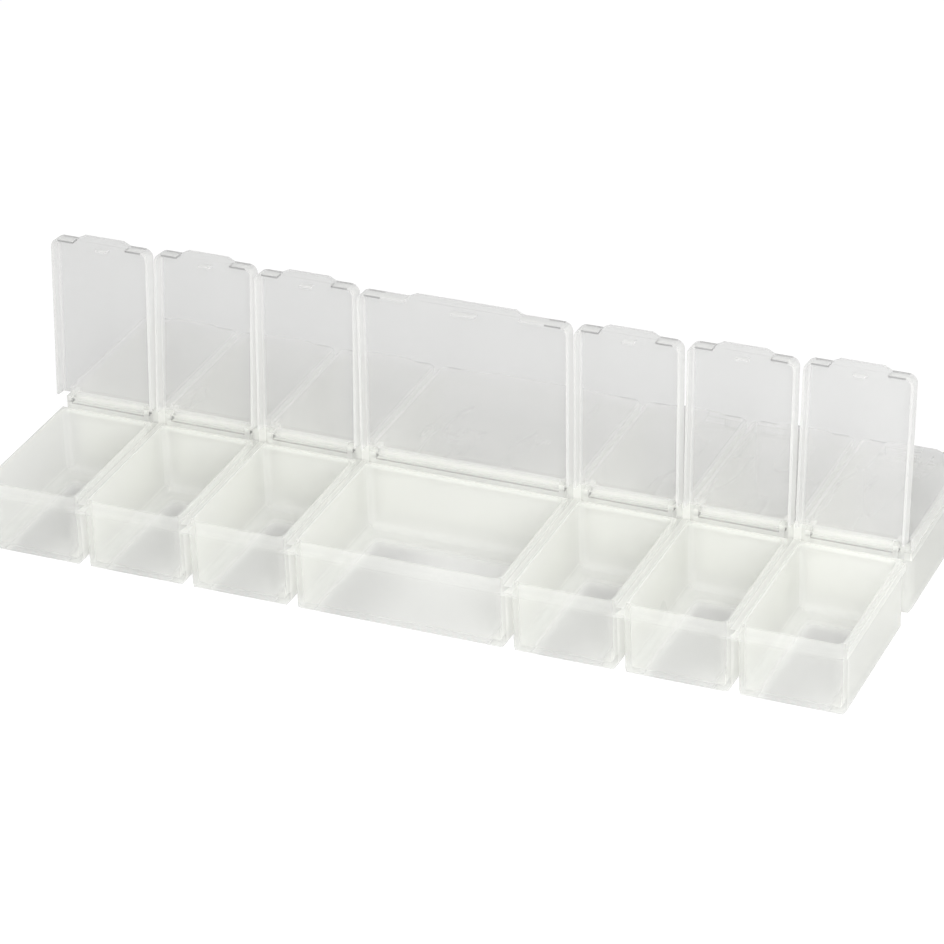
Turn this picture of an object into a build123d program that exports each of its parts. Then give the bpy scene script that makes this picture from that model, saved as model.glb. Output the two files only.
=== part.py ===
from build123d import *
import os

os.makedirs("parts", exist_ok=True)

# X runs along the tray, Y from the front row to the back row, Z up from the table.
# Compartments
PITCH = 33.0  # one small compartment along the tray
COLUMN_UNITS = [1, 1, 1, 2, 1, 1, 1]  # the middle compartment is a double one
TRAY_LENGTH = PITCH * sum(COLUMN_UNITS)
FLOOR = 1.2

# Levels above the table
RIM_Z = 22.0  # top of the lip around every compartment
LEDGE_Z = RIM_Z - 1.7  # ledge outside the lip, under the skirt of the lid
COLLAR_Z = RIM_Z - 3.9  # underside of the collar that carries the ledge and joins the compartments
LID_TOP_Z = RIM_Z + 2.8
RIB_TOP_Z = RIM_Z + 3.5

# Insets, measured inwards from the edge of the closed lid
EDGE_GAP = 0.75  # from the edge of the lid to the middle of the gap beside it
SKIRT = 0.7
LIP_INSET = SKIRT + 0.3
LIP = 0.65
CAVITY_INSET = LIP_INSET + LIP
BODY_INSET = 0.1  # the wall stands back a little under the collar

# One row, seen from above; the back row is the front row turned half a turn
ROW_FRONT_Y = -53.4
ROW_BACK_Y = -2.7
RIM_RADIUS = 2.6
BODY_RADIUS = 3.6
CAVITY_RADIUS = 2.1
BOTTOM_RADIUS = 2.6
CAVITY_BOTTOM_RADIUS = 2.0

# Hinge: each lid turns on a rod along its rear edge, whose ends sit in windows in two cheeks
AXIS_Y = -1.7
ROD_RADIUS = 0.7
ROD_FLATS = 12
AXIS_Z = LID_TOP_Z - ROD_RADIUS
WINDOW = ROD_RADIUS + 0.1
CHEEK = WINDOW + 0.55
FLAP_INSET = 4.8  # hinge sizes along X are from the edge of the column
CHEEK_INSET = 3.0
CHEEK_WIDTH = 1.5
ROD_INSET = 3.4
RIB_HALF = 0.5
RIB_INSET = 3.8

# Lid
PLATE = 1.0
PLATE_BACK_Y = AXIS_Y - 2.2
SKIRT_BOTTOM_Z = RIM_Z - 1.2
TAB_REACH = 1.1
TAB_SHARE = 0.54  # of the width of the lid
TAB_THICKNESS = 1.2
TAB_SLOPE = 2.2  # length of each sloping end
NIB_SHARE = 0.11
NIB_GAP = 0.3  # from the nib to the inside of the lip
NIB_THICKNESS = 0.55
NIB_DROP = 0.5  # below the top of the lip

# How far each front lid stands open, in degrees from closed
FRONT_OPEN_DEG = [95.0, 96.5, 94.5, 92.5, 93.0, 94.5, 96.5]


def column_edges():
    edges = [-TRAY_LENGTH / 2]
    for units in COLUMN_UNITS:
        edges.append(edges[-1] + units * PITCH)
    return list(zip(edges[:-1], edges[1:]))


def slab(x0, x1, y0, y1, z0, z1):
    with BuildPart() as part:
        with Locations(((x0 + x1) / 2, (y0 + y1) / 2, (z0 + z1) / 2)):
            Box(x1 - x0, y1 - y0, z1 - z0)
    return part.part


def front_rounded_slab(x0, x1, y0, y1, z0, z1, radius):
    """Slab with its two front corners rounded and its rear corners square."""
    with BuildPart() as part:
        with BuildSketch(Plane.XY.offset(z0)) as outline:
            with Locations(((x0 + x1) / 2, (y0 + y1) / 2)):
                Rectangle(x1 - x0, y1 - y0)
            fillet(outline.vertices().sort_by(Axis.Y)[:2], radius)
        extrude(amount=z1 - z0)
    return part.part


def rounded_well(x0, x1, y0, y1, z0, z1, corner_radius, bottom_radius):
    """Block with rounded corners and lower edges: its plan crossed with its end and side outlines."""
    reach = TRAY_LENGTH
    with BuildPart() as part:
        with BuildSketch(Plane.XY.offset(z0)):
            with Locations(((x0 + x1) / 2, (y0 + y1) / 2)):
                RectangleRounded(x1 - x0, y1 - y0, corner_radius)
        extrude(amount=z1 - z0)
        for plane, low, high in ((Plane.XZ, x0, x1), (Plane.YZ, y0, y1)):
            with BuildSketch(plane) as outline:
                with Locations(((low + high) / 2, (z0 + z1) / 2)):
                    Rectangle(high - low, z1 - z0)
                fillet(outline.vertices().sort_by(Axis.Y)[:2], bottom_radius)
            extrude(amount=reach, both=True, mode=Mode.INTERSECT)
    return part.part


def compartment(x0, x1):
    """Walls of one front compartment: body, collar with its ledge, and lip, still solid inside."""
    x0, x1 = x0 + EDGE_GAP, x1 - EDGE_GAP
    b = BODY_INSET
    body = rounded_well(
        x0 + b, x1 - b, ROW_FRONT_Y + b, ROW_BACK_Y - b, 0, COLLAR_Z, BODY_RADIUS, BOTTOM_RADIUS
    )
    collar = front_rounded_slab(x0, x1, ROW_FRONT_Y, ROW_BACK_Y, COLLAR_Z, LEDGE_Z, RIM_RADIUS)
    p = LIP_INSET
    lip = front_rounded_slab(
        x0 + p, x1 - p, ROW_FRONT_Y + p, ROW_BACK_Y - p, COLLAR_Z, RIM_Z, RIM_RADIUS - p
    )
    return [body, collar, lip]


def cavity(x0, x1):
    c = CAVITY_INSET
    side = EDGE_GAP + c
    return rounded_well(
        x0 + side,
        x1 - side,
        ROW_FRONT_Y + c,
        ROW_BACK_Y - c,
        FLOOR,
        RIM_Z,
        CAVITY_RADIUS,
        CAVITY_BOTTOM_RADIUS,
    )


def hinge_seat(x0, x1):
    """Bench between the compartment and the rib that carries one lid, with a cheek at each end."""
    start, end = x0 + CHEEK_INSET, x1 - CHEEK_INSET
    bench_z = AXIS_Z - WINDOW
    front_y = AXIS_Y - CHEEK
    return [
        slab(start, end, front_y, 0, COLLAR_Z, bench_z),
        slab(start, start + CHEEK_WIDTH, front_y, 0, bench_z, AXIS_Z + CHEEK),
        slab(end - CHEEK_WIDTH, end, front_y, 0, bench_z, AXIS_Z + CHEEK),
    ]


def hinge_window(x0, x1):
    """Square tunnel through both cheeks, in which the ends of the rod turn."""
    w = WINDOW
    return slab(x0 + CHEEK_INSET, x1 - CHEEK_INSET, AXIS_Y - w, AXIS_Y + w, AXIS_Z - w, AXIS_Z + w)


def closed_lid(x0, x1):
    """One front lid in its closed place."""
    left, right = x0 + EDGE_GAP, x1 - EDGE_GAP
    middle = (x0 + x1) / 2
    width = right - left
    underside = LID_TOP_Z - PLATE
    s = SKIRT
    tab = TAB_SHARE * width / 2
    nib = NIB_SHARE * width / 2
    tab_front = ROW_FRONT_Y - TAB_REACH
    nib_y = ROW_FRONT_Y + CAVITY_INSET + NIB_GAP
    with BuildPart() as lid:
        add(front_rounded_slab(left, right, ROW_FRONT_Y, PLATE_BACK_Y, SKIRT_BOTTOM_Z, LID_TOP_Z, RIM_RADIUS))
        add(
            front_rounded_slab(
                left + s, right - s, ROW_FRONT_Y + s, 0, SKIRT_BOTTOM_Z, underside, RIM_RADIUS - s
            ),
            mode=Mode.SUBTRACT,
        )
        # the thumb tab, with the skirt cut away under it
        add(
            slab(middle - tab, middle + tab, tab_front, ROW_FRONT_Y + s, SKIRT_BOTTOM_Z, underside),
            mode=Mode.SUBTRACT,
        )
        with BuildSketch(Plane.XY.offset(LID_TOP_Z - TAB_THICKNESS)):
            Polygon(
                (middle - tab, ROW_FRONT_Y + s),
                (middle - tab, ROW_FRONT_Y),
                (middle - tab + TAB_SLOPE, tab_front),
                (middle + tab - TAB_SLOPE, tab_front),
                (middle + tab, ROW_FRONT_Y),
                (middle + tab, ROW_FRONT_Y + s),
                align=None,
            )
        extrude(amount=TAB_THICKNESS)
        add(slab(middle - nib, middle + nib, nib_y, nib_y + NIB_THICKNESS, RIM_Z - NIB_DROP, underside))
        # the hinge flap and its rod
        add(slab(x0 + FLAP_INSET, x1 - FLAP_INSET, PLATE_BACK_Y - 1, AXIS_Y, underside, LID_TOP_Z))
        with BuildSketch(Plane.YZ.offset(x0 + ROD_INSET)):
            with Locations((AXIS_Y, AXIS_Z)):
                RegularPolygon(ROD_RADIUS, ROD_FLATS, major_radius=False, rotation=180 / ROD_FLATS)
        extrude(amount=x1 - x0 - 2 * ROD_INSET)
    return lid.part


# Tray: fourteen compartments, the web between their collars and the hinge rib along the middle.
columns = column_edges()
half = TRAY_LENGTH / 2
walls = []
wells = []
seats = []
windows = []
for x_start, x_end in columns:
    walls += compartment(x_start, x_end)
    wells.append(cavity(x_start, x_end))
    seats += hinge_seat(x_start, x_end)
    windows.append(hinge_window(x_start, x_end))

web_end = half - EDGE_GAP - RIM_RADIUS
web = slab(-web_end, web_end, ROW_FRONT_Y, -ROW_FRONT_Y, COLLAR_Z, LEDGE_Z)
rib = slab(-half + RIB_INSET, half - RIB_INSET, -RIB_HALF, RIB_HALF, COLLAR_Z, RIB_TOP_Z)

with BuildPart() as tray:
    add(web)
    for angle in (0, 180):
        add([piece.rotate(Axis.Z, angle) for piece in walls])
    for angle in (0, 180):
        add([piece.rotate(Axis.Z, angle) for piece in wells], mode=Mode.SUBTRACT)
    add(rib)
    for angle in (0, 180):
        add([piece.rotate(Axis.Z, angle) for piece in seats])
    for angle in (0, 180):
        add([piece.rotate(Axis.Z, angle) for piece in windows], mode=Mode.SUBTRACT)

tray.part.label = "tray"
export_step(tray.part, "parts/tray.step")

# Lids: the front row stands open on its hinges, the back row is shut.
front_axis = Axis((0, AXIS_Y, AXIS_Z), (-1, 0, 0))
for number, (x_start, x_end) in enumerate(columns, start=1):
    shut = closed_lid(x_start, x_end)
    front = shut.rotate(front_axis, FRONT_OPEN_DEG[number - 1])
    front.label = f"lid_front_{number}"
    export_step(front, f"parts/{front.label}.step")
    back = shut.rotate(Axis.Z, 180)
    back.label = f"lid_back_{len(columns) + 1 - number}"
    export_step(back, f"parts/{back.label}.step")
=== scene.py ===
import math

import bpy
from mathutils import Matrix, Vector


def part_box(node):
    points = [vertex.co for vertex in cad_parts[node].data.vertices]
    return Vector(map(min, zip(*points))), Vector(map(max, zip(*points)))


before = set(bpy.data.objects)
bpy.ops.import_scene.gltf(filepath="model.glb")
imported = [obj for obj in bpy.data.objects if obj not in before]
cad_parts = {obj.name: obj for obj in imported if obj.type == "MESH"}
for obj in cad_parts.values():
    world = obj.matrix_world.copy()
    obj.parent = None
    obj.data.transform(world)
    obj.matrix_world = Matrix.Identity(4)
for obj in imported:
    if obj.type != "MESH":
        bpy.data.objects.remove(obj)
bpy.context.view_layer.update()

# ------------------------------------------------------------------------------------------- Tray
# One injection moulding of milky polypropylene: fourteen open compartments hung from a collar,
# with the hinge spine between the two rows. Thin walls can be seen through. Walls, rounded feet,
# corners and the collar scatter light and look whiter, the wide border of each foot partly as
# painted light. The middle of each floor carries a painted shadow, darkest along its left side,
# and the hinge windows, the bench edges and the rear walls carry painted shade.

EDGE_GAP = 0.00075  # from the edge of a compartment to the middle of the gap beside it
COLUMNS = 8  # small compartments that would fit along a row; the middle one takes two
CAVITY_INSET = 0.0024  # from the middle of the gap to the inside of a wall
ROW_BACK = 0.0027  # from the middle of the spine to the back of a row
CAVITY_BACK = 0.00435
CAVITY_RADIUS = 0.0021
FLOOR_TOP = 0.0012
COLLAR_LOW = 0.0181
HINGE_Y = 0.0017
HINGE_Z = 0.0241

tray_low, tray_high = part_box("tray")
PITCH = (tray_high[0] - tray_low[0] + 2 * EDGE_GAP) / COLUMNS
ROW_FRONT = tray_high[1]

TRAY_TINT = (0.94, 0.945, 0.91)
TRAY_CLOUD = (0.96, 0.965, 0.94)
TRAY_LOOK = {
    "haze": 0.12,  # share of the light that a thin wall stops, seen straight on
    "edge_haze": 0.43,  # and seen along its surface
    "haze_power": 3.0,
    "shadow_haze": 0.02,
    "translucency": 0.5,
}
WALL_HAZE = 0.45
REAR_CLEAR = 0.12  # share of that haze which a rear wall does without: painted shade on the walls that face the softbox
WALL_FADE = 0.0003  # from the face of a wall to where its haze has gone
# the foot's whiter border on the floor is partly painted light
FOOT_HAZE = 0.4
FOOT_START = 0.002
FOOT_END = 0.009
FOOT_SIDE = 1.2  # how much faster the foot runs out from a side wall
FOOT_REAR = 0.86  # and from a rear wall
FOOT_ROUND = 0.003
FOOT_LOW = 0.003
FOOT_HIGH = 0.009
COLLAR_HAZE = 0.22
GAP_HAZE = 0.6
GAP_BAND = 0.0011
GAP_FRONT = 0.0015
SPINE_HAZE = 0.2
CORNER_HAZE = 0.18
CORNER_START = 0.0028
CORNER_END = 0.0055
FLOOR_SHADOW_HAZE = 0.16  # haze of the painted shadow on the middle of a floor
# painted shadow: how far the middle of a floor is darkened towards SHADE
FLOOR_SHADOW_STRENGTH = 0.5
FLOOR_SHADOW_LEFT = 0.0065
FLOOR_SHADOW_FADE = 0.012
FLOOR_SHADOW_RIGHT = 0.030
FLOOR_SHADOW_REAR = 0.0085
FLOOR_SHADOW_EDGE = 0.0015
CHEEK_START = 0.003
CHEEK_END = 0.0045
WINDOW_HALF = 0.00081
WINDOW_DARK = 0.0004  # how far below the hinge line the painted shade in a window starts
WINDOW_HAZE = 0.8
BENCH_FRONT = 0.0031
BENCH_LINE = 0.0027
BENCH_LINE_Z = 0.0231
BENCH_HAZE = 0.42
BENCH_SHADE = 0.6
CRISP = 0.0001  # width over which a sharp boundary changes


def math_node(tree, operation, *values):
    node = tree.nodes.new("ShaderNodeMath")
    node.operation = operation
    for socket, value in zip(node.inputs, values):
        if isinstance(value, (int, float)):
            socket.default_value = value
        else:
            tree.links.new(value, socket)
    return node.outputs[0]


def product(tree, *masks):
    result = masks[0]
    for mask in masks[1:]:
        result = math_node(tree, "MULTIPLY", result, mask)
    return result


def more_than(tree, value, level):
    return math_node(tree, "GREATER_THAN", value, level)


def less_than(tree, value, level):
    return math_node(tree, "LESS_THAN", value, level)


def ramp(tree, value, full, none):
    """1 at full and on its side, falling smoothly to 0 at none."""
    node = tree.nodes.new("ShaderNodeMapRange")
    node.interpolation_type = "SMOOTHSTEP"
    node.inputs["From Min"].default_value = min(full, none)
    node.inputs["From Max"].default_value = max(full, none)
    node.inputs["To Min"].default_value = float(full < none)
    node.inputs["To Max"].default_value = float(full > none)
    tree.links.new(value, node.inputs["Value"])
    return node.outputs["Result"]


def noise(tree, place, scale, detail, stretch=(1.0, 1.0, 1.0), turn=(0.0, 0.0, 0.0)):
    mapping = tree.nodes.new("ShaderNodeMapping")
    mapping.inputs["Scale"].default_value = stretch
    mapping.inputs["Rotation"].default_value = turn
    tree.links.new(place, mapping.inputs["Vector"])
    node = tree.nodes.new("ShaderNodeTexNoise")
    node.inputs["Detail"].default_value = detail
    tree.links.new(mapping.outputs["Vector"], node.inputs["Vector"])
    if isinstance(scale, float):
        node.inputs["Scale"].default_value = scale
    else:
        tree.links.new(scale, node.inputs["Scale"])
    return node.outputs["Fac"]


def new_group(name, inputs, outputs):
    """An empty node group with named sockets."""
    tree = bpy.data.node_groups.new(name, "ShaderNodeTree")
    for label, kind, value in inputs:
        socket = tree.interface.new_socket(label, in_out="INPUT", socket_type=f"NodeSocket{kind}")
        if value is not None:
            socket.default_value = value
    for label, kind in outputs:
        tree.interface.new_socket(label, in_out="OUTPUT", socket_type=f"NodeSocket{kind}")
    return tree, tree.nodes.new("NodeGroupInput"), tree.nodes.new("NodeGroupOutput")


# What the mould and handling leave on the plastic: cloudy streaks where it flowed, a fine
# spark-eroded grain, and hairline scratches.
FLOW_STRETCH = (1.0, 0.3, 0.3)  # the plastic runs from the spine outwards, and up a raised lid
FLOW_SCALE = 70.0
FLOW_DETAIL = 4.0
GRAIN_SCALE = 2600.0
GRAIN_DETAIL = 2.0
ROUGHNESS_LOW = 0.24
ROUGHNESS_HIGH = 0.36
SCRATCH_SCALE = 420.0
SCRATCH_DETAIL = 1.0
SCRATCH_STRETCH = (0.06, 1.0, 1.0)
SCRATCH_TURNS = ((0.0, 0.0, 0.5), (0.3, 0.0, 2.3))
SCRATCH_FROM = 0.705
SCRATCH_TO = 0.73
SCRATCH_ROUGHNESS = 0.06
SCRATCH_DEPTH = -0.15
GRAIN_STRENGTH = 0.06
GRAIN_HEIGHT = 0.00003

moulded_surface, given, result = new_group(
    "moulded_surface",
    [
        ("Place", "Vector", None),
        ("Tint", "Color", (*TRAY_TINT, 1.0)),
        ("Cloud Tint", "Color", (*TRAY_CLOUD, 1.0)),
        ("Cloud Scale", "Float", FLOW_SCALE),
        ("Grain Scale", "Float", GRAIN_SCALE),
        ("Roughness Low", "Float", ROUGHNESS_LOW),
        ("Roughness High", "Float", ROUGHNESS_HIGH),
    ],
    [("Color", "Color"), ("Roughness", "Float"), ("Normal", "Vector")],
)
place = given.outputs["Place"]
cloud = noise(moulded_surface, place, given.outputs["Cloud Scale"], FLOW_DETAIL, FLOW_STRETCH)
grain = noise(moulded_surface, place, given.outputs["Grain Scale"], GRAIN_DETAIL)
scratches = 0.0
for turn in SCRATCH_TURNS:
    line = noise(moulded_surface, place, SCRATCH_SCALE, SCRATCH_DETAIL, SCRATCH_STRETCH, turn)
    line = ramp(moulded_surface, line, SCRATCH_TO, SCRATCH_FROM)
    scratches = math_node(moulded_surface, "MAXIMUM", line, scratches)
blend = moulded_surface.nodes.new("ShaderNodeMix")
blend.data_type = "RGBA"
moulded_surface.links.new(cloud, blend.inputs["Factor"])
moulded_surface.links.new(given.outputs["Tint"], blend.inputs["A"])
moulded_surface.links.new(given.outputs["Cloud Tint"], blend.inputs["B"])
moulded_surface.links.new(blend.outputs["Result"], result.inputs["Color"])
low, high = given.outputs["Roughness Low"], given.outputs["Roughness High"]
spread = math_node(moulded_surface, "SUBTRACT", high, low)
roughness = math_node(moulded_surface, "MULTIPLY_ADD", cloud, spread, low)
roughness = math_node(moulded_surface, "MULTIPLY_ADD", scratches, SCRATCH_ROUGHNESS, roughness)
moulded_surface.links.new(roughness, result.inputs["Roughness"])
bump = moulded_surface.nodes.new("ShaderNodeBump")
bump.inputs["Strength"].default_value = GRAIN_STRENGTH
bump.inputs["Distance"].default_value = GRAIN_HEIGHT
height = math_node(moulded_surface, "MULTIPLY_ADD", scratches, SCRATCH_DEPTH, grain)
moulded_surface.links.new(height, bump.inputs["Height"])
moulded_surface.links.new(bump.outputs["Normal"], result.inputs["Normal"])

PLASTIC_IOR = 1.49
SHADE = (0.3, 0.3, 0.3)  # painted shade: the dark grey of narrow places that hardly any light gets into, which the marks paint into the colour
STREAK_LEAST = 0.8
STREAK_SPREAD = 0.4


def darkened(tree, colour, shade):
    """A colour, plain or from a socket, darkened towards SHADE where the marks paint shade."""
    node = tree.nodes.new("ShaderNodeMix")
    node.data_type = "RGBA"
    node.inputs["B"].default_value = (*SHADE, 1.0)
    tree.links.new(shade, node.inputs["Factor"])
    if isinstance(colour, tuple):
        node.inputs["A"].default_value = (*colour, 1.0)
    else:
        tree.links.new(colour, node.inputs["A"])
    return node.outputs["Result"]


def milky_plastic(name, tint, cloud, look):
    """A material of plastic that is see-through where it is thin, and the sockets that its haze
    marks and its painted shade go into.
    """
    material = bpy.data.materials.new(name)
    material.use_nodes = True
    tree = material.node_tree
    tree.nodes.clear()
    place = tree.nodes.new("ShaderNodeTexCoord").outputs["Object"]
    surface = tree.nodes.new("ShaderNodeGroup")
    surface.node_tree = moulded_surface
    surface.inputs["Tint"].default_value = (*tint, 1.0)
    surface.inputs["Cloud Tint"].default_value = (*cloud, 1.0)
    tree.links.new(place, surface.inputs["Place"])
    # painted shade: where the marks set this, the colour is darkened towards SHADE
    shade = math_node(tree, "ADD", 0.0, 0.0)
    skin = tree.nodes.new("ShaderNodeBsdfPrincipled")
    skin.inputs["IOR"].default_value = PLASTIC_IOR
    tree.links.new(darkened(tree, surface.outputs["Color"], shade), skin.inputs["Base Color"])
    tree.links.new(surface.outputs["Roughness"], skin.inputs["Roughness"])
    tree.links.new(surface.outputs["Normal"], skin.inputs["Normal"])
    glow = tree.nodes.new("ShaderNodeBsdfTranslucent")
    tree.links.new(darkened(tree, cloud, shade), glow.inputs["Color"])
    tree.links.new(surface.outputs["Normal"], glow.inputs["Normal"])
    milk = tree.nodes.new("ShaderNodeMixShader")
    milk.inputs["Fac"].default_value = look["translucency"]
    tree.links.new(skin.outputs[0], milk.inputs[1])
    tree.links.new(glow.outputs[0], milk.inputs[2])
    # more haze where the plastic is looked at along its surface, because the path is longer
    facing = tree.nodes.new("ShaderNodeLayerWeight").outputs["Facing"]
    slant = math_node(tree, "POWER", facing, look["haze_power"])
    added = look["edge_haze"] - look["haze"]
    haze = math_node(tree, "MULTIPLY_ADD", slant, added, look["haze"])
    streaks = noise(tree, place, FLOW_SCALE, FLOW_DETAIL, FLOW_STRETCH)
    streaks = math_node(tree, "MULTIPLY_ADD", streaks, STREAK_SPREAD, STREAK_LEAST)
    haze = math_node(tree, "MULTIPLY", haze, streaks)
    # light from the lamps is held back a little more than the light of what lies behind
    is_shadow = tree.nodes.new("ShaderNodeLightPath").outputs["Is Shadow Ray"]
    shadow = math_node(tree, "MULTIPLY", is_shadow, look["shadow_haze"])
    haze = math_node(tree, "MAXIMUM", haze, shadow)
    mix = tree.nodes.new("ShaderNodeMixShader")
    tree.links.new(haze, mix.inputs["Fac"])
    tree.links.new(tree.nodes.new("ShaderNodeBsdfTransparent").outputs[0], mix.inputs[1])
    tree.links.new(milk.outputs[0], mix.inputs[2])
    output = tree.nodes.new("ShaderNodeOutputMaterial")
    tree.links.new(mix.outputs[0], output.inputs["Surface"])
    at = tree.nodes.new("ShaderNodeSeparateXYZ")
    tree.links.new(place, at.inputs[0])
    return material, at.outputs, mix.inputs["Fac"], shade.node.inputs[0]


def gap_distance(tree, x):
    """Distance along the tray to the middle of the nearest gap between compartments."""
    past_middle = math_node(tree, "SUBTRACT", math_node(tree, "ABSOLUTE", x), PITCH)
    in_middle = math_node(tree, "MAXIMUM", math_node(tree, "MULTIPLY", past_middle, -1.0), 0.0)
    in_small = math_node(tree, "PINGPONG", past_middle, PITCH / 2)
    is_small = more_than(tree, past_middle, 0.0)
    return math_node(tree, "MULTIPLY_ADD", is_small, in_small, in_middle)


def mark(tree, socket, masks):
    """Raise what goes into a socket to each mask times its level, where that is more."""
    level = socket.links[0].from_socket if socket.links else 0.0
    for mask, amount in masks:
        level = math_node(tree, "MAXIMUM", math_node(tree, "MULTIPLY", mask, amount), level)
    tree.links.new(level, socket)


def give_material(node, material):
    node.data.materials.clear()
    node.data.materials.append(material)


tray_plastic, at, tray_haze, tray_shade = milky_plastic(
    "tray_plastic", TRAY_TINT, TRAY_CLOUD, TRAY_LOOK
)
tree = tray_plastic.node_tree
from_gap = gap_distance(tree, at["X"])
from_middle = math_node(tree, "ABSOLUTE", at["Y"])
from_front = math_node(tree, "SUBTRACT", ROW_FRONT, from_middle)
from_side = math_node(tree, "SUBTRACT", from_gap, CAVITY_INSET)
from_rear = math_node(tree, "SUBTRACT", from_middle, CAVITY_BACK)

# the side and rear walls with the rounded corner between them, and the rounded foot where they
# run out into the floor; the foot's white border reaches well past the fillet, partly painted
# light where light spills in past the walls onto the floor
behind_front = more_than(tree, from_front, CAVITY_INSET)
side_reach = math_node(tree, "MAXIMUM", math_node(tree, "SUBTRACT", CAVITY_RADIUS, from_side), 0.0)
rear_reach = math_node(tree, "MAXIMUM", math_node(tree, "SUBTRACT", CAVITY_RADIUS, from_rear), 0.0)
reach = math_node(tree, "MULTIPLY", side_reach, side_reach)
reach = math_node(tree, "SQRT", math_node(tree, "MULTIPLY_ADD", rear_reach, rear_reach, reach))
wall = ramp(tree, reach, CAVITY_RADIUS - CRISP, CAVITY_RADIUS - WALL_FADE)
# painted shade: the rear walls, which face the softbox, are made clearer than the side walls
rear = ramp(tree, from_rear, CRISP, CAVITY_RADIUS)
rear = math_node(tree, "MULTIPLY_ADD", rear, -REAR_CLEAR, 1.0)
wall = product(tree, wall, rear, behind_front)
side_foot = math_node(tree, "MULTIPLY", from_side, FOOT_SIDE)
rear_foot = math_node(tree, "MULTIPLY", from_rear, FOOT_REAR)
foot = math_node(tree, "SMOOTH_MIN", side_foot, rear_foot, FOOT_ROUND)
foot = ramp(tree, foot, FOOT_START, FOOT_END)
foot = product(tree, foot, ramp(tree, at["Z"], FOOT_LOW, FOOT_HIGH), behind_front)

# the collar, the gaps in it, the spine and the rounded front corners
collar = more_than(tree, at["Z"], COLLAR_LOW - CRISP)
gap = ramp(tree, from_gap, GAP_BAND, GAP_BAND + 2 * CRISP)
gap = product(tree, gap, collar, more_than(tree, from_front, GAP_FRONT))
spine = less_than(tree, from_middle, ROW_BACK)
corner = math_node(tree, "MAXIMUM", from_gap, from_front)
corner = ramp(tree, corner, CORNER_START, CORNER_END)

# the windows that the rods of the lids turn in, painted dark below the hinge line as shade
off_hinge = math_node(tree, "ABSOLUTE", math_node(tree, "SUBTRACT", from_middle, HINGE_Y))
below = math_node(tree, "SUBTRACT", HINGE_Z, at["Z"])
shaded_window = product(
    tree,
    more_than(tree, from_gap, CHEEK_START - CRISP),
    less_than(tree, from_gap, CHEEK_END + CRISP),
    less_than(tree, off_hinge, WINDOW_HALF),
    less_than(tree, below, WINDOW_HALF),
    more_than(tree, below, WINDOW_DARK),
)

# painted shade: a dark line along the front edge of the bench under each hinge
bench_shade_line = product(
    tree,
    less_than(tree, from_middle, BENCH_FRONT),
    more_than(tree, from_middle, BENCH_LINE),
    more_than(tree, at["Z"], BENCH_LINE_Z),
    more_than(tree, from_gap, CHEEK_END),
)

# painted shadow on the middle of each floor, darkest along its left side
past_left = math_node(tree, "MODULO", math_node(tree, "ADD", at["X"], COLUMNS / 2 * PITCH), PITCH)
in_middle = less_than(tree, math_node(tree, "ABSOLUTE", at["X"]), PITCH)
added = math_node(tree, "SUBTRACT", math_node(tree, "ADD", at["X"], PITCH), past_left)
past_left = math_node(tree, "MULTIPLY_ADD", in_middle, added, past_left)
past_left = math_node(tree, "SUBTRACT", past_left, CAVITY_INSET)
clear = product(
    tree,
    ramp(tree, past_left, FLOOR_SHADOW_LEFT, FLOOR_SHADOW_LEFT - FLOOR_SHADOW_EDGE),
    ramp(tree, past_left, FLOOR_SHADOW_FADE, FLOOR_SHADOW_RIGHT),
    ramp(tree, from_rear, FLOOR_SHADOW_REAR, FLOOR_SHADOW_REAR - FLOOR_SHADOW_EDGE),
    less_than(tree, at["Z"], FLOOR_TOP + CRISP),
)

mark(
    tree,
    tray_haze,
    [
        (wall, WALL_HAZE),
        (foot, FOOT_HAZE),
        (collar, COLLAR_HAZE),
        (gap, GAP_HAZE),
        (spine, SPINE_HAZE),
        (corner, CORNER_HAZE),
        (shaded_window, WINDOW_HAZE),
        (bench_shade_line, BENCH_HAZE),
        (clear, FLOOR_SHADOW_HAZE),
    ],
)
mark(tree, tray_shade, [(shaded_window, 1.0), (bench_shade_line, BENCH_SHADE), (clear, FLOOR_SHADOW_STRENGTH)])
give_material(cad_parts["tray"], tray_plastic)

# ------------------------------------------------------------------------------------------- Lids
# Fourteen snap lids of the same plastic in a thinner, clearer moulding: a flat plate with a skirt
# around it, a thumb tab, and a hinge flap whose rod turns in the cheeks of the spine. Seen from
# the side the skirts are thick and white, and the rod is clear.

LID_TINT = (0.96, 0.96, 0.945)
LID_CLOUD = (0.98, 0.98, 0.97)
OPEN_LOOK = {
    "haze": 0.215,
    "edge_haze": 0.64,
    "haze_power": 2.5,
    "shadow_haze": 0.25,
    "translucency": 0.63,
}
# painted shade: the shut row is a copy of the same plastic that is clearer and keeps out more lamp
# light, so that the shut compartments come out darker
SHUT_LOOK = {**OPEN_LOOK, "haze": 0.17, "shadow_haze": 0.5}
SKIRT_HAZE = 0.42
SKIRT_START = 0.00145
SKIRT_END = 0.0027
ROD_CLEAR = 0.6
ROD_START = 0.0011
ROD_END = 0.002
RIM_IN = 0.05112  # from the hinge line to the rim of the skirt along the free edge
RIM_OUT = 0.05168
RIM_HAZE = 0.7
RIM_SHADE = 0.9
RIM_CORNER = 0.003
TAB_START = 0.008

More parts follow.
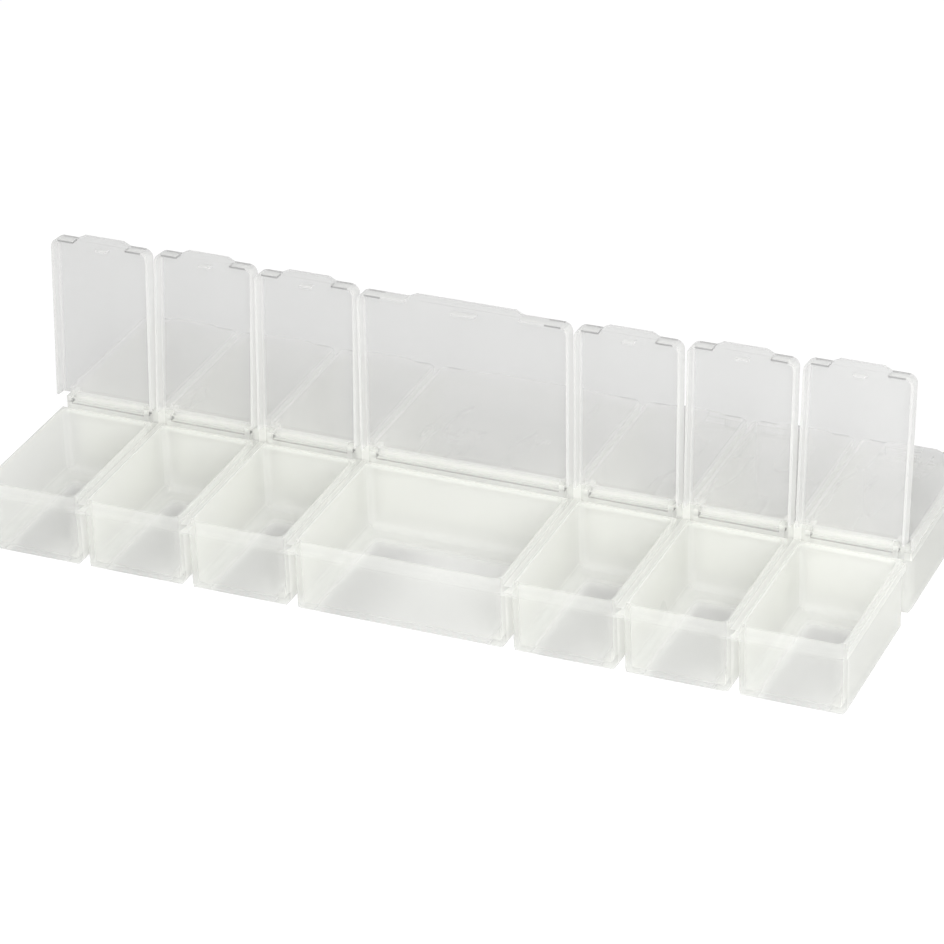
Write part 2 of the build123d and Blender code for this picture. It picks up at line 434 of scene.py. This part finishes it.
for row, hinge_y, look in (("front", -HINGE_Y, OPEN_LOOK), ("back", HINGE_Y, SHUT_LOOK)):
    plastic, at, lid_haze, lid_shade = milky_plastic(
        f"lid_plastic_{row}", LID_TINT, LID_CLOUD, look
    )
    tree = plastic.node_tree
    from_gap = gap_distance(tree, at["X"])
    skirt = ramp(tree, from_gap, SKIRT_START, SKIRT_END)
    across = math_node(tree, "SUBTRACT", at["Y"], hinge_y)
    above = math_node(tree, "SUBTRACT", at["Z"], HINGE_Z)
    from_hinge = math_node(tree, "MULTIPLY", across, across)
    from_hinge = math_node(tree, "MULTIPLY_ADD", above, above, from_hinge)
    from_hinge = math_node(tree, "SQRT", from_hinge)
    # the rod and the flap beside it are clearer than the plate
    rod = ramp(tree, from_hinge, ROD_START, ROD_END)
    rod = math_node(tree, "MULTIPLY_ADD", rod, -ROD_CLEAR, 1.0)
    plate_haze = lid_haze.links[0].from_socket
    tree.links.new(math_node(tree, "MULTIPLY", plate_haze, rod), lid_haze)
    # painted shade: a dark line along the rim of the skirt on each side of the thumb tab
    rim = product(
        tree,
        more_than(tree, from_hinge, RIM_IN),
        less_than(tree, from_hinge, RIM_OUT),
        more_than(tree, from_gap, RIM_CORNER),
        less_than(tree, from_gap, TAB_START),
    )
    mark(tree, lid_haze, [(skirt, SKIRT_HAZE), (rim, RIM_HAZE)])
    mark(tree, lid_shade, [(rim, RIM_SHADE)])
    for name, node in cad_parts.items():
        if name.startswith(f"lid_{row}"):
            give_material(node, plastic)

# ------------------------------------------------------------------------------------------ Floor
# A sheet of pale paper a hair below the tray. Around the object it reads as plain white, and
# through the plastic as the soft grey of paper in ordinary light, with the object's shadow on it.

PAPER_SIZE = 12.0
PAPER_DROP = 0.0004
PAPER_TONE = 0.73
PAPER_FIBRE = 0.02
FIBRE_SCALE = 900.0
FIBRE_DETAIL = 3.0
PAPER_GLOW = 0.85  # share of its white that is its own where it is looked at directly
PAPER_WHITE = 1.05
NO_LAYERS = 0.5  # below this, no layer of plastic lies in between

bpy.ops.object.select_all(action="DESELECT")
bpy.ops.mesh.primitive_plane_add(size=PAPER_SIZE)
floor = bpy.context.object
floor.name = "floor"
bpy.ops.object.mode_set(mode="EDIT")
bpy.ops.transform.translate(value=(0.0, 0.0, -PAPER_DROP))
bpy.ops.object.mode_set(mode="OBJECT")
paper = bpy.data.materials.new("floor_paper")
paper.use_nodes = True
tree = paper.node_tree
tree.nodes.clear()
light_path = tree.nodes.new("ShaderNodeLightPath").outputs
looked_at = less_than(tree, light_path["Transparent Depth"], NO_LAYERS)
looked_at = product(tree, looked_at, light_path["Is Camera Ray"])
looked_at = math_node(tree, "MAXIMUM", looked_at, light_path["Is Glossy Ray"])
place = tree.nodes.new("ShaderNodeTexCoord").outputs["Object"]
fibre = noise(tree, place, FIBRE_SCALE, FIBRE_DETAIL)
tone = math_node(tree, "MULTIPLY_ADD", fibre, PAPER_FIBRE, PAPER_TONE - PAPER_FIBRE / 2)
tone = math_node(tree, "MAXIMUM", tone, looked_at)
matt = tree.nodes.new("ShaderNodeBsdfDiffuse")
tree.links.new(tone, matt.inputs["Color"])
glow = tree.nodes.new("ShaderNodeEmission")
glow.inputs["Strength"].default_value = PAPER_WHITE
mix = tree.nodes.new("ShaderNodeMixShader")
tree.links.new(math_node(tree, "MULTIPLY", looked_at, PAPER_GLOW), mix.inputs["Fac"])
tree.links.new(matt.outputs[0], mix.inputs[1])
tree.links.new(glow.outputs[0], mix.inputs[2])
output = tree.nodes.new("ShaderNodeOutputMaterial")
tree.links.new(mix.outputs[0], output.inputs["Surface"])
floor.data.materials.append(paper)

# ------------------------------------------------------------------------------------------ Light
# A pale room that is a little brighter near the horizon than overhead, and one large softbox in
# front of the tray, to the right.

ROOM_HORIZON = 0.86
ROOM_ZENITH = 0.45
ROOM_BLEND_Z = 0.9
KEY_X = 0.54
KEY_Y = -0.9
KEY_Z = 0.66
KEY_SIZE = 0.9
KEY_POWER = 16.8
KEY_TARGET = (0.03, 0.0, 0.02)

room = bpy.data.worlds.new("room")
bpy.context.scene.world = room
room.use_nodes = True
tree = room.node_tree
direction = tree.nodes.new("ShaderNodeSeparateXYZ")
tree.links.new(tree.nodes.new("ShaderNodeTexCoord").outputs["Generated"], direction.inputs[0])
rise = tree.nodes.new("ShaderNodeMapRange")
rise.inputs["From Max"].default_value = ROOM_BLEND_Z
rise.inputs["To Min"].default_value = ROOM_HORIZON
rise.inputs["To Max"].default_value = ROOM_ZENITH
tree.links.new(direction.outputs["Z"], rise.inputs["Value"])
is_camera = tree.nodes.new("ShaderNodeLightPath").outputs["Is Camera Ray"]
backdrop = tree.nodes.new("ShaderNodeMix")
backdrop.inputs["B"].default_value = 1.0
tree.links.new(is_camera, backdrop.inputs["Factor"])
tree.links.new(rise.outputs["Result"], backdrop.inputs["A"])
background = tree.nodes["Background"]
background.inputs["Color"].default_value = (1.0, 1.0, 1.0, 1.0)
tree.links.new(backdrop.outputs["Result"], background.inputs["Strength"])

lamp = bpy.data.lights.new("key_softbox", "AREA")
lamp.shape = "SQUARE"
lamp.size = KEY_SIZE
lamp.energy = KEY_POWER
softbox = bpy.data.objects.new("key_softbox", lamp)
bpy.context.scene.collection.objects.link(softbox)
softbox.location = (KEY_X, KEY_Y, KEY_Z)
aim = Vector(KEY_TARGET) - softbox.location
softbox.rotation_euler = aim.to_track_quat("-Z", "Y").to_euler()

# ----------------------------------------------------------------------------------------- Camera
# A long lens from the front right, a little above the tray, turned a touch to the left. It stands
# about 1.2 m away, so that the rows hardly narrow towards the back.

CAMERA_PLACE = (0.42755, -0.95255, 0.60531)
CAMERA_TURN = math.radians(24.154)
CAMERA_DOWN = math.radians(29.165)
CAMERA_ROLL = math.radians(-2.025)
FRAME_WIDTH = 36.0
FOCAL_LENGTH = 159.215
CLIP_NEAR = 0.05
CLIP_FAR = 50.0
ROWS = 4  # of the matrix that places the camera
LAYERS_SEEN_THROUGH = 48

lens = bpy.data.cameras.new("camera")
lens.sensor_fit = "HORIZONTAL"
lens.sensor_width = FRAME_WIDTH
lens.lens = FOCAL_LENGTH
lens.clip_start = CLIP_NEAR
lens.clip_end = CLIP_FAR
camera = bpy.data.objects.new("camera", lens)
bpy.context.scene.collection.objects.link(camera)
camera.matrix_world = (
    Matrix.Translation(CAMERA_PLACE)
    @ Matrix.Rotation(CAMERA_TURN, ROWS, "Z")
    @ Matrix.Rotation(math.pi / 2 - CAMERA_DOWN, ROWS, "X")
    @ Matrix.Rotation(CAMERA_ROLL, ROWS, "Z")
)
bpy.context.scene.camera = camera
bpy.context.scene.view_settings.view_transform = "Standard"
bpy.context.scene.cycles.transparent_max_bounces = LAYERS_SEEN_THROUGH
